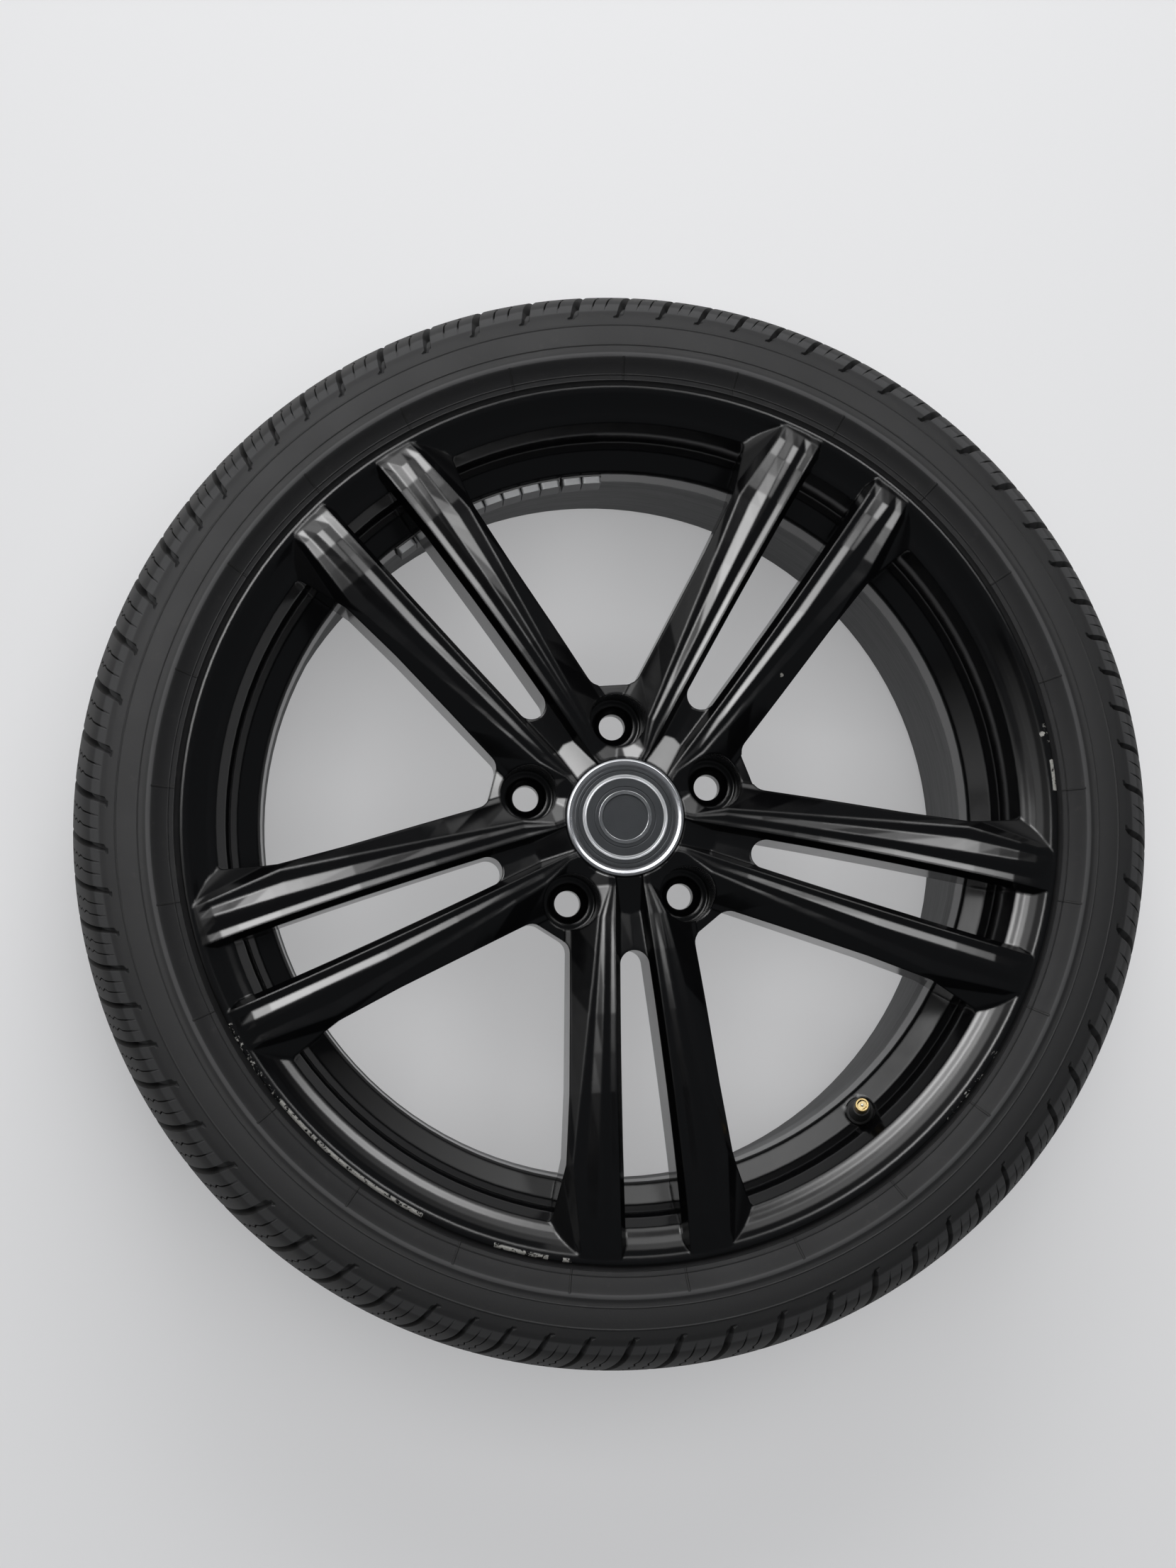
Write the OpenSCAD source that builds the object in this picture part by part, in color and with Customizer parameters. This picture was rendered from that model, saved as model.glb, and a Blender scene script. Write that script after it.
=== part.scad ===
// Passenger-car wheel: cast light-alloy rim with five twin spokes, directional winter tyre,
// snap-in valve, clip-in centre cap and stick-on balance weights.
// Millimetres. The origin is the middle of the hub mounting face, +Z points outward from the car.

/* [Rim] */
// Radius of the bead seats at the flange
seat_r = 231; // [222:0.5:240]
// Half the distance between the two bead flanges
seat_half = 95.25; // [89:0.25:101.75]
// Height of the flanges above the bead seats
flange_h = 17.3; // [16.5:0.1:18.5]
// Width of each flange outside the bead
flange_w = 12.45; // [11.5:0.05:13.5]
// Depth of the drop well below the bead seats
well_depth = 17.5; // [16:0.1:20]
// Thickness of the barrel wall
barrel_wall = 6.5; // [5:0.1:7.5]
// Distance from the middle of the rim to the hub mounting face
offset_z = 51; // [45:0.5:55]

/* [Hub] */
// Radius of the centre bore
bore_r = 28.55; // [26:0.05:29]
// Length of the centre bore
bore_len = 12; // [8:0.5:16]
// Radius of the circle of bolt holes
bolt_circle_r = 56; // [54:0.5:60]
// Radius of each bolt hole
bolt_hole_r = 7.6; // [6.5:0.1:8]
// Radius of the ball seat under each bolt head
ball_seat_r = 13; // [12:0.5:14]
// Radius of the pocket round each bolt head
bolt_pocket_r = 15.8; // [14.5:0.1:16]
// Radius of the mounting pad
pad_r = 73; // [68:1:76]
// Distance from the axis to the straight bottom edge of each window
web_r = 77; // [75:0.5:82]

/* [Spokes] */
// Half width of the slot between twin spokes at its inner end
slot_in = 7.6; // [6:0.2:9]
// Half width of the slot between twin spokes at the lip
slot_out = 15.9; // [14:0.2:18]
// Distance from the axis to the bottom of each slot
slot_start = 75; // [72:1:85]
// Width of the bevel beside each slot
bevel_w = 3.4; // [2:0.2:4.5]
// Depth of the bevel beside each slot
bevel_h = 9; // [5:0.5:11]
// Width of the small bevel along a spoke's edges
edge_w = 0.4; // [0.2:0.1:1]
// Height of the spoke ridges above the mounting face
crown_h = 62; // [58:0.5:64]
// Depth of the hollows between the ridges
sag = 1.2; // [0.4:0.1:2]
// Height of the back of the spokes above the mounting face, at the barrel
spoke_back_h = 14; // [11:0.5:16]
// Depth of the channels in the backs of the spokes
channel_depth = 22; // [8:1:26]

/* [Tyre] */
// Height of the tread above the bead seats
tyre_h = 86; // [81:0.5:93]
// Distance that the sidewalls stand out beyond the bead seats' flanges
tyre_out = 15.35; // [12:0.05:18]
// Number of tread blocks round each shoulder
pitches = 72; // [56:1:78]
// Depth of the tread grooves
groove_depth = 7; // [3:0.5:8]
// Depth of the slanting grooves at the shoulder
shoulder_depth = 4; // [2:0.5:6]
// Width of the slanting grooves
slot_w = 4.2; // [3:0.2:5.5]
// Width of the two grooves that run round the tread
ring_groove_w = 7; // [4:0.5:9]
// Height of the rim guard above the flange
guard_h = 16.3; // [14:0.1:19]
// Distance that the rim guard stands out beyond the flange
guard_out = 3.7; // [2.5:0.1:4.5]
// Thickness of the sidewalls
side_wall = 8.5; // [6:0.5:10]
// Thickness of rubber under the tread grooves
under_tread = 5.5; // [4:0.5:7]

/* [Cap] */
// Radius of the centre cap
cap_r = 33.3; // [31:0.1:34]
// Thickness of the cap's rim above its seat
cap_rim_h = 8.6; // [6:0.2:9]
// Radius of the dark disc in the cap
disc_r = 28.2; // [24:0.1:29]
// Number of clip legs
clip_legs = 8; // [4:1:10]

/* [Valve] */
// Angle between the valve and the wheel's axis
valve_tilt = 14; // [12:0.5:16]
// Radius of the valve hole
valve_hole_r = 5.75; // [5.4:0.05:6]
// Length of the valve above its seat
valve_len = 30; // [27:0.5:34]
// Radius of the brass stem at its thread
stem_r = 3.95; // [3.8:0.05:4.3]
// Travel of the core pin
pin_travel = 1.6; // [1:0.1:1.8]

/* [Balance weights] */
// Length of one weight round the barrel
weight_len = 11; // [8:0.2:11.4]
// Width of one weight along the axis
weight_w = 18; // [14:0.5:19]
// Thickness of one weight
weight_t = 4; // [2.5:0.1:6]
// Thickness of the foam tape
tape_t = 1; // [0.6:0.1:1.5]
// Distance from one weight to the next
weight_pitch = 11.8; // [11.6:0.1:13]

/* [Hidden] */
$fn = 96;
eps = 0.01;
through = 200;

// Five twin spokes, with a bolt hole and a window between each two of them
arms = 5;
arm_step = 360 / arms;
first_arm = 90;
first_bolt = first_arm - arm_step / 2;

// Radii and heights of the rim, measured from its middle plane
lip_r = seat_r + flange_h;
lip_z = seat_half + flange_w;
lip_edge_r = 1.8;
flange_curve_r = 9.5;
heel_r = 6.5;
seat_taper = tan(5);
seat_w = 18.25;
seat_end_r = seat_r - seat_w * seat_taper;
seat_end_z = seat_half - seat_w;
hump_h = 1.2;
hump_w = 7;
bright_w = 4.8;
bright_drop = 1.2;
shelf_r = lip_r - 19.3;
shelf_z = lip_z - 11.2;
shelf_dip = 2.4;
well_r = seat_r - well_depth;
barrel_r = well_r - barrel_wall;
well_front_z = seat_half - 38.25;
well_back_z = seat_half - 65.25;
back_r = seat_r - 6;
back_z = -(seat_half - 31);

// Unit vector, and a point on the line between two points
function unit(v) = v / norm(v);
function mix(a, b, t) = a + (b - a) * t;
// Part of the way from one value to another, held between 0 and 1
function ramp(x, from, to) = min(1, max(0, (x - from) / (to - from)));
function backwards(list) = [for (i = [len(list) - 1:-1:0]) list[i]];

// The arc that rounds corner b, as points from a's side to c's side, in steps of 15 degrees or less
function corner(a, b, c, r, most) =
    let (u = unit(a - b), v = unit(c - b), half = acos(u * v) / 2,
        centre = b + unit(u + v) * r / sin(half),
        from = b + u * r / tan(half) - centre, to = b + v * r / tan(half) - centre,
        start = atan2(from[1], from[0]), turn = atan2(to[1], to[0]) - start,
        sweep = turn > 180 ? turn - 360 : turn < -180 ? turn + 360 : turn,
        steps = min(most, ceil(abs(sweep) / 15)))
    [for (i = [0:steps]) centre + r * [cos(start + sweep * i / steps), sin(start + sweep * i / steps)]];

// An outline of [x, y, corner radius] points with its corners rounded
function rounded(outline, steps = 4) =
    let (n = len(outline), p = [for (q = outline) [q[0], q[1]]])
    [for (i = [0:n - 1])
        each outline[i][2] > 0
            ? corner(p[(i + n - 1) % n], p[i], p[(i + 1) % n], outline[i][2], steps) : [p[i]]];

// A curve from a to c that leaves along a-b and arrives along b-c
function bend(a, b, c, steps) =
    [for (i = [0:steps]) mix(mix(a, b, i / steps), mix(b, c, i / steps), i / steps)];

// Outer face, flange and bead seat of one side of the rim, from the lip inward
function bead_side(s) = [[lip_r, s * lip_z, lip_edge_r], [lip_r, s * seat_half, flange_curve_r],
    [seat_r, s * seat_half, heel_r], [seat_end_r, s * seat_end_z, 2],
    [seat_end_r + hump_h, s * (seat_end_z - hump_w / 2), 2],
    [seat_end_r, s * (seat_end_z - hump_w), 1.5]];

// Section of the barrel and both flanges
function barrel_outline() =
    rounded(concat(
        bead_side(1),
        [[well_r, well_front_z, 6], [well_r, well_back_z, 10], [well_r + 3.5, well_back_z - 10, 12],
            [back_r - 1.5, back_z + 16, 0], [back_r, back_z, 4]],
        backwards(bead_side(-1)),
        [[lip_r - 5, -lip_z, 1.2], [lip_r - 10, -lip_z + 3.5, 4], [lip_r - 26, -lip_z + 6, 8],
            [back_r - 5.5, back_z + 4, 0], [back_r - 8.3, back_z + 14, 0],
            [barrel_r + 7.2, well_back_z - 36, 0], [barrel_r + 5.5, well_back_z - 32, 0],
            [barrel_r + 3, well_back_z - 8, 0], [barrel_r, well_back_z - 3, 0],
            [barrel_r, well_front_z + 4, 0], [barrel_r + 1.5, well_front_z + 6.5, 0],
            [shelf_r - 10, well_front_z + 13, 3], [shelf_r - 6.5, seat_end_z - 1, 0],
            [shelf_r - 4.5, shelf_z - 9, 4], [shelf_r, shelf_z, 1.5]],
        [for (p = shelf_face()) [p[0], p[1], 0]]));

// The dished face from the shelf's inner edge to the bright line of the lip
function shelf_face() = bend([shelf_r + 2, shelf_z + 1.1], [mix(shelf_r, lip_r - bright_w, 0.55),
    mix(shelf_z, lip_z - bright_drop, 0.5) - shelf_dip], [lip_r - bright_w, lip_z - bright_drop], 4);

// Twin spoke
// Distances along the middle line of a pair, out from the wheel's axis
cap_seat_r = cap_r + 0.5;
foot_y = cap_seat_r + 4.2;
hub_y = foot_y + 17;
tip_y = lip_r - 2.3;
kink_y = lip_r - 58.3;
apex_y = lip_r - 50.3;
lip_join_y = lip_r - 5.3;
function part_y(t) = mix(slot_start, kink_y, t);
near_y = part_y(0.26);
far_y = part_y(0.67);
channel_start = part_y(0.174);
channel_full = part_y(0.295);
channel_fade = part_y(0.916);
channel_end = kink_y + 5;
stations = [foot_y - 12, foot_y, hub_y, slot_start, channel_start, channel_full, part_y(0.48), far_y,
    channel_fade, kink_y, apex_y, mix(apex_y, lip_join_y, 0.27), mix(apex_y, lip_join_y, 0.52),
    mix(apex_y, lip_join_y, 0.76), lip_r - 8.3, tip_y, lip_r + 5];

// Half widths of the ridges and edges at distance y
function along(y) = ramp(y, foot_y, tip_y);
function ridge_x(y) = mix(slot_in + 0.4, slot_out, 1 - pow(1 - along(y), 1.7)) + bevel_w * along(y);
function slot_x(y) = ridge_x(y) - bevel_w;
function outer_land_x(y) = lookup(y, [[foot_y, 10.2], [hub_y, 15.2], [tip_y, 34]]);
function land_w(y) = 0.6 + 3.9 * ramp(y, far_y, tip_y - 4);
function outer_ridge_x(y) = lookup(y, [[foot_y, 11.4], [hub_y, 18.8], [kink_y, 42.9], [lip_r, 40.8]]);
function wall_x(y) = lookup(y, [[foot_y, 30], [hub_y, 33.9], [slot_start, 35.4], [near_y, 37.6],
    [far_y, 41.7], [kink_y, 46], [apex_y, 48.3], [lip_join_y, 43.5]]);
function tongue_x(y) = y < apex_y - eps ? wall_x(y) + 3
    : lookup(y, [[apex_y, 51], [apex_y + 12, 58], [apex_y + 23, 66], [lip_r, 74]]);

// Heights above the middle plane at distance y
crown_z = offset_z + crown_h;
lip_rise = 0.55;
function held_by_lip(x, y, z) = min(z, lip_z - 1.5 + lip_rise * (lip_r - 2.3 - norm([x, y])));
function ridge_z(y) = crown_z + lookup(y, [[foot_y, -10.5], [slot_start - 5, -6.5], [near_y, -3],
    [far_y, -0.5], [kink_y + 10, 0], [lip_r - 23, -1], [lip_r - 8, -3.5]]);
function wall_z(y) = lookup(y, [[foot_y, crown_z - 17], [hub_y, crown_z - 21], [slot_start, crown_z - 19],
    [near_y, crown_z - 12], [far_y, crown_z - 6], [kink_y, crown_z - 5], [apex_y, lip_z - 3.7],
    [lip_join_y, lip_z - 1.4]]);
function tongue_z(y) = y < apex_y - eps ? wall_z(y) - 1.5 : wall_z(y) - 0.78 * (tongue_x(y) - wall_x(y));
function back_z_at(y) = offset_z
    + lookup(y, [[web_r, 2], [barrel_r, spoke_back_h], [lip_r, spoke_back_h + 4]]);
function channel_at(y) = channel_depth
    * min(ramp(y, channel_start, channel_full), ramp(y, channel_end, channel_fade));

// Front of one spoke at distance y, from the slot to the window
function spoke_front(y) =
    let (a = [ridge_x(y), ridge_z(y)], c = [outer_land_x(y), ridge_z(y) + 0.5 * along(y)],
        b = c - [land_w(y), 0.1], d = [outer_ridge_x(y), ridge_z(y) - 1.2 * ramp(y, hub_y + 5, near_y)],
        dip = [0, 0.2 + (sag - 0.2) * ramp(y, foot_y, near_y)])
    [[a[0] - bevel_w, a[1] - bevel_h], a, (a + b) / 2 - dip, b, c, (c + d) / 2 - dip, d,
        [wall_x(y), wall_z(y)], [tongue_x(y), tongue_z(y)]];

// Back of one spoke at distance y, from the window to the slot, with its channel
function spoke_back(y) =
    let (z = back_z_at(y), top = z + channel_at(y), out = wall_x(y), in = slot_x(y))
    [[tongue_x(y), z], [out - 6, z], [out - 8, top], [in + 8, top], [in + 6, z]];

// Whole section of a pair at distance y
function pair_section(y) =
    let (side = concat([for (p = spoke_front(y)) [p[0], held_by_lip(p[0], y, p[1])]], spoke_back(y)))
    concat([[0, held_by_lip(0, y, ridge_z(y) - bevel_h - 0.6)]], side, [[0, back_z_at(y)]],
        [for (p = backwards(side)) [-p[0], p[1]]]);

// Solid through a row of sections that all have the same number of points
module loft(rings) {
    n = len(rings[0]);
    last = len(rings) - 1;
    polyhedron(
        points = [for (ring = rings) each ring],
        faces = concat(
            [[for (i = [0:n - 1]) i], [for (i = [n - 1:-1:0]) last * n + i]],
            [for (k = [0:last - 1], i = [0:n - 1]) each
                let (a = k * n + i, b = k * n + (i + 1) % n)
                [[a, a + n, b], [b, a + n, b + n]]]));
}

module spoke_pair() {
    loft([for (y = stations) [for (p = pair_section(y)) [p[0], y, p[1]]]]);
}

// A point beside a pair's middle line, as a point beside the middle line of the next window
function in_window(x, y) = [x * sin(arm_step / 2) + y * cos(arm_step / 2),
    y * sin(arm_step / 2) - x * cos(arm_step / 2)];

function beside_spoke(y) = in_window(wall_x(y) + edge_w, y);

// Half outline of a window: flat bottom, spoke wall, tongue and the shelf's inner edge
tongue_reach = 7.9;
window_corner_r = 3.2;
function window_half() =
    let (low = beside_spoke(web_r - 5), mid = beside_spoke(far_y),
        bend_at = beside_spoke(kink_y), apex = beside_spoke(apex_y),
        tongue_a = asin((apex[1] + tongue_reach) / shelf_r),
        corner_p = shelf_r * [cos(tongue_a), sin(tongue_a)],
        after = corner_p + 30 * [sin(tongue_a), -cos(tongue_a)],
        bottom = [web_r, mix(low, mid, (web_r - low[0]) / (mid[0] - low[0]))[1]])
    concat(corner([web_r, 0], bottom, mid, 8, 5), [mid, bend_at, apex],
        corner(apex, corner_p, after, window_corner_r, 4),
        [for (a = [14, 7]) shelf_r * [cos(a), sin(a)]]);

module windows() {
    half = window_half();
    outline = concat(half, [for (p = backwards(half)) [p[0], -p[1]]]);
    for (k = [0:arms - 1])
        rotate([0, 0, first_bolt + k * arm_step]) linear_extrude(through) polygon(outline);
}

// Slots between twin spokes, with round inner ends
module slots() {
    inner = slot_start + slot_x(slot_start + 8);
    edge = [for (y = concat([inner], stations, [lip_r + 8])) if (y >= inner) [y, slot_x(y) + edge_w / 2]];
    for (k = [0:arms - 1]) rotate([0, 0, first_arm + k * arm_step]) {
        linear_extrude(through) polygon(concat(edge, [for (p = backwards(edge)) [p[0], -p[1]]]));
        translate([inner, 0, 0]) cylinder(r = edge[0][1], h = through);
    }
}

// What the spokes may fill: up to the middle of the barrel wall and the lip
module spoke_envelope() {
    wall_mid = barrel_r + barrel_wall / 2;
    rotate_extrude() polygon([[0, 0], [wall_mid, 0], [wall_mid, well_front_z + 1],
        [wall_mid + 3, well_front_z + 5], [shelf_r - 5, well_front_z + 13], [shelf_r - 2.5, seat_end_z - 1],
        [shelf_r + 2, shelf_z - 1.5], [shelf_r + 10, shelf_z + 5], [lip_r - 2.1, shelf_z + 8.5],
        [lip_r - 2.1, crown_z + 10], [0, crown_z + 10]]);
}

// Hub
hub_front_z = crown_z - 12.7;
hub_edge_r = web_r / cos(arm_step / 2) + 1;
hub_edge_z = hub_front_z - 0.262 * (hub_edge_r - cap_seat_r);
cap_seat_z = crown_z - 18;
clip_edge_z = cap_seat_z - 7;
clip_bore_r = bore_r - 0.05;
clip_room_r = bore_r + 1.95;
bolt_seat_z = offset_z + 20.5;

module hub_disc() {
    rotate_extrude() polygon([[0, offset_z], [pad_r, offset_z], [pad_r + 2, offset_z + 2.5],
        [hub_edge_r, offset_z + 3.5], [hub_edge_r, hub_edge_z], [cap_seat_r, hub_front_z], [0, hub_front_z]]);
}

// Bore, clip chamber and cap seat, as one stepped round cut
module hub_cuts() {
    chamfer = 1.2;
    bore_end = offset_z + bore_len;
    rotate_extrude() polygon([[0, offset_z - 1], [bore_r + chamfer + 1, offset_z - 1],
        [bore_r, offset_z + chamfer], [bore_r, bore_end], [clip_room_r, bore_end],
        [clip_room_r, clip_edge_z], [clip_bore_r, clip_edge_z], [clip_bore_r, cap_seat_z],
        [cap_seat_r, cap_seat_z], [cap_seat_r, through], [0, through]]);
}

module bolt_cuts() {
    for (k = [0:arms - 1]) rotate([0, 0, first_bolt + k * arm_step]) translate([bolt_circle_r, 0, 0]) {
        translate([0, 0, offset_z - 1]) cylinder(r = bolt_hole_r, h = 20);
        translate([0, 0, bolt_seat_z]) sphere(r = ball_seat_r);
        translate([0, 0, bolt_seat_z - 5]) cylinder(r = bolt_pocket_r, h = through);
    }
}

// Hollows in the back of the hub, between the bolt holes
module hub_back_pockets() {
    outline = rounded([[bolt_circle_r - 14, -9, 4], [pad_r - 5, -15, 4], [pad_r - 5, 15, 4],
        [bolt_circle_r - 14, 9, 4]]);
    for (k = [0:arms - 1]) rotate([0, 0, first_arm + k * arm_step])
        translate([0, 0, offset_z - 1]) linear_extrude(25) polygon(outline);
}

// Valve, in its own frame: its seat at the origin, its axis along +Z
valve_a = first_arm + 180;
valve_tip_r = barrel_r + 3.4;
valve_seat_z = well_front_z + 9.5;
valve_seat_r = valve_tip_r + valve_len * sin(valve_tilt);
valve_boss_r = 9.8;
valve_face_r = 8.6;
valve_wall = 6.5;

module at_valve() {
    rotate([0, 0, valve_a]) translate([valve_seat_r, 0, valve_seat_z]) rotate([0, -valve_tilt, 0]) children();
}

module rim() {
    color([0.05, 0.05, 0.06]) difference() {
        union() {
            rotate_extrude() polygon(barrel_outline());
            difference() {
                union() {
                    intersection() {
                        spoke_envelope();
                        for (k = [0:arms - 1]) rotate([0, 0, first_arm - 90 + k * arm_step]) spoke_pair();
                    }
                    hub_disc();
                }
                windows();
                slots();
            }
            at_valve() translate([0, 0, -valve_wall]) cylinder(r = valve_boss_r, h = valve_wall);
        }
        hub_cuts();
        bolt_cuts();
        hub_back_pockets();
        at_valve() {
            translate([0, 0, -valve_wall - 1]) cylinder(r = valve_hole_r, h = valve_wall + 2);
            cylinder(r = valve_face_r, h = valve_len);
            translate([0, 0, -valve_wall - 14]) cylinder(r = valve_face_r, h = 14);
        }
    }
}

// Tyre
bead_gap = 0.3;
tread_r = seat_r + tyre_h;
tyre_half = seat_half + tyre_out;
tread_slope = [5.2, 14.4, 26, 62];
tread_bend = [170, 110, 32];

// Distance across and drop of an arc of radius r between two slopes
function arc_step(r, from, to) = r * [sin(to) - sin(from), cos(from) - cos(to)];

// Outside of the tyre from the middle of the tread to the rim guard
shoulder_z = tyre_half - 3.5;
tread_bend_z = arc_step(tread_bend[0], tread_slope[0], tread_slope[1])[0]
    + arc_step(tread_bend[1], tread_slope[1], tread_slope[2])[0]
    + arc_step(tread_bend[2], tread_slope[2], tread_slope[3])[0];
crown_bend = (shoulder_z - tread_bend_z) / sin(tread_slope[0]);
function crown_drop(z) = crown_bend - sqrt(crown_bend * crown_bend - z * z);
flat_end = [tread_r - crown_drop(shoulder_z - tread_bend_z), shoulder_z - tread_bend_z];
function tread_arc(start, i, steps) =
    [for (k = [1:steps]) let (to = mix(tread_slope[i], tread_slope[i + 1], k / steps),
        d = arc_step(tread_bend[i], tread_slope[i], to)) [start[0] - d[1], start[1] + d[0]]];
arc_a = tread_arc(flat_end, 0, 2);
arc_b = tread_arc(arc_a[1], 1, 1);
arc_c = tread_arc(arc_b[0], 2, 2);
shoulder = arc_c[1];
guard_r = lip_r + guard_h;
guard_z = lip_z + guard_out;
function tread_half() = concat(
    [for (z = [0, 0.5, 1]) let (at = z * flat_end[1]) [tread_r - crown_drop(at), at]],
    arc_a, arc_b, arc_c);
function sidewall_half() = concat(
    bend(shoulder + [-1.2, -0.3], [mix(guard_r, shoulder[0], 0.6), tyre_half + 0.4],
        [guard_r + 4, tyre_half], 5),
    [[guard_r + 2.2, guard_z - 0.2], [guard_r, guard_z], [guard_r - 2, guard_z - 0.3],
        [guard_r - 4.5, guard_z - 2.6], [guard_r - 8, guard_z - 5], [lip_r + 4, lip_z - 3],
        [lip_r + 1, lip_z - 5.2]]);
// Where the tyre leaves the flange, and the bead on its seat
function bead_half() = concat(
    [for (a = [-18, -36, -54, -72, -90])
        [lip_r - flange_curve_r + (flange_curve_r + bead_gap) * cos(a),
            seat_half + flange_curve_r + (flange_curve_r + bead_gap) * sin(a)]],
    corner([lip_r, seat_half - bead_gap], [seat_r + bead_gap, seat_half - bead_gap],
        [seat_end_r + bead_gap, seat_end_z], heel_r + 0.4, 4),
    [[seat_end_r + bead_gap + 0.2, seat_end_z + 2.2], [seat_end_r + 1.6, seat_end_z + 0.4]]);
function liner_half() = rounded([[seat_end_r + 4, seat_end_z + 0.2, 0],
    [lip_r - 8, seat_end_z + 4.5, 12], [lip_r + 6, lip_z - 2 - side_wall, 14],
    [mix(guard_r, shoulder[0], 0.42), tyre_half - side_wall, 2],
    [shoulder[0] - 3, shoulder_z - side_wall, 1.5],
    [tread_r - groove_depth - under_tread - 4, flat_end[1] + 32, 16],
    [tread_r - groove_depth - under_tread - crown_drop(20), 20, 0],
    [tread_r - groove_depth - under_tread, 0, 0]], 3);
function tyre_half_outline() = concat(tread_half(), sidewall_half(), bead_half(), liner_half());
function both_halves(half) = concat(half, [for (i = [len(half) - 1:-1:0]) if (half[i][1] > eps)
    [half[i][0], -half[i][1]]]);

// Space above the floor of the tread grooves
module groove_band() {
    floor_points = [[tread_r - groove_depth, 0], flat_end - [groove_depth, 0],
        arc_b[0] - [0.9, 0.2] * mix(groove_depth, shoulder_depth, 0.5),
        shoulder - [0.6, 0.75] * shoulder_depth];
    rotate_extrude() polygon(both_halves(concat([[tread_r + 6, 0], [tread_r + 6, shoulder[1] + 9]],
        [[shoulder[0] - 3, shoulder[1] + 9]], backwards(floor_points))));
}

// Slanting groove of one side, as a bent strip in the plane of distance round and across
function arm_line() = [[0, 6], [20, 46], [37, shoulder_z + 8]];
module groove_arm() {
    line = arm_line();
    outline = concat([for (p = line) p - [slot_w / 2, 0]], [for (p = backwards(line)) p + [slot_w / 2, 0]]);
    rotate([90, 0, 90]) linear_extrude(tread_r + 20) polygon(outline);
}

// Angle of each tread block, with runs of longer and shorter blocks in turn
pitch_runs = 6;
pitch_swing = 1.6;
function pitch_angle(k) = 360 * k / pitches + pitch_swing * sin(pitch_runs * 360 * k / pitches);

module tread_grooves() {
    for (k = [0:pitches - 1], s = [0, 1]) rotate([0, 0, pitch_angle(k + s / 2)]) mirror([0, 0, s])
        intersection() {
            groove_band();
            groove_arm();
        }
}

ring_groove_z = 24;
module ring_grooves() {
    bottom = tread_r - groove_depth;
    for (s = [-1, 1]) rotate_extrude() polygon([for (p = [[bottom, -0.35], [bottom, 0.35], [tread_r + 3, 0.5],
        [tread_r + 3, -0.5]]) [p[0], s * ring_groove_z + p[1] * ring_groove_w]]);
}

module tyre() {
    color([0.09, 0.09, 0.09]) difference() {
        rotate_extrude() polygon(both_halves(tyre_half_outline()));
        tread_grooves();
        ring_grooves();
    }
}

// Centre cap
cap_gap = 0.15;
cap_front_z = cap_seat_z + cap_rim_h;
disc_t = 1.6;
disc_floor_z = cap_front_z - 2.6;
leg_r = clip_bore_r - 0.3;
leg_t = 1.8;
spring_wire_r = 0.9;
spring_z = clip_edge_z + 2.5;

module cap_body() {
    leg_w = 0.5 * 360 / clip_legs;
    color([0.75, 0.76, 0.78]) {
        rotate_extrude() polygon(rounded([[0, disc_floor_z - 2.2, 0], [leg_r - leg_t, disc_floor_z - 2.2, 0],
            [leg_r - leg_t, cap_seat_z + 2, 0], [leg_r + 0.4, cap_seat_z + 2, 0],
            [leg_r + 1.4, cap_seat_z + cap_gap, 0],
            [cap_r, cap_seat_z + cap_gap, 0], [cap_r, cap_front_z - 1, 1.2], [cap_r - 1.4, cap_front_z, 0.8],
            [disc_r + 2, cap_front_z - 0.6, 1], [disc_r + cap_gap, disc_floor_z, 0], [0, disc_floor_z, 0]]));
        for (k = [0:clip_legs - 1]) rotate([0, 0, k * 360 / clip_legs - leg_w / 2])
            rotate_extrude(angle = leg_w) polygon([[leg_r - leg_t + 0.4, cap_seat_z + 3],
                [leg_r - leg_t, cap_seat_z + 1], [leg_r - leg_t, spring_z - 1.2],
                [leg_r - leg_t - 0.7, spring_z - 1.7], [leg_r - leg_t, clip_edge_z - 4],
                [leg_r - 0.4, clip_edge_z - 4], [leg_r + 1.5, clip_edge_z - 1.4],
                [leg_r + 1.5, clip_edge_z - cap_gap], [leg_r, clip_edge_z - cap_gap],
                [leg_r, cap_seat_z + 3]]);
    }
}

module cap_disc() {
    color([0.2, 0.21, 0.22]) difference() {
        translate([0, 0, disc_floor_z + 0.02]) cylinder(r = disc_r, h = disc_t);
        for (r = [emblem_out + 2, mix(emblem_out + 2, disc_r, 0.5), disc_r - 2])
            rotate_extrude() translate([r, disc_floor_z + disc_t - 0.3]) square([0.5, 1]);
        translate([0, 0, disc_floor_z + disc_t - 0.6]) cylinder(r = emblem_out + 0.05, h = 2);
    }
}

emblem_out = 15;
emblem_w = 2;
module cap_emblem_ring() {
    color([0.82, 0.83, 0.85]) translate([0, 0, disc_floor_z + disc_t - 0.56]) difference() {
        cylinder(r = emblem_out, h = 1.1);
        translate([0, 0, -1]) cylinder(r = emblem_out - emblem_w, h = 3);
    }
}

module cap_spring_ring() {
    color([0.6, 0.6, 0.62]) rotate_extrude()
        translate([leg_r - leg_t - spring_wire_r - 0.03, spring_z]) circle(r = spring_wire_r, $fn = 24);
}

// Valve pieces
shank_r = 3.1;
rubber_top = valve_len - 11;
step_z = rubber_top - 3;
thread_z = rubber_top + 0.5;
neck_r = stem_r - 0.3;
bond_gap = 0.02;
core_bore_r = 2.75;
low_bore_r = 2.1;
core_top = valve_len - pin_travel;
core_shoulder = valve_len - 7.6;
barrel_end = valve_len - 14;
pin_hole_r = 0.78;
pin_r = 0.6;
spring_room_r = 1.3;
ledge_z = barrel_end + 1.2;
collar_z = core_top - 3.4;

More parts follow.
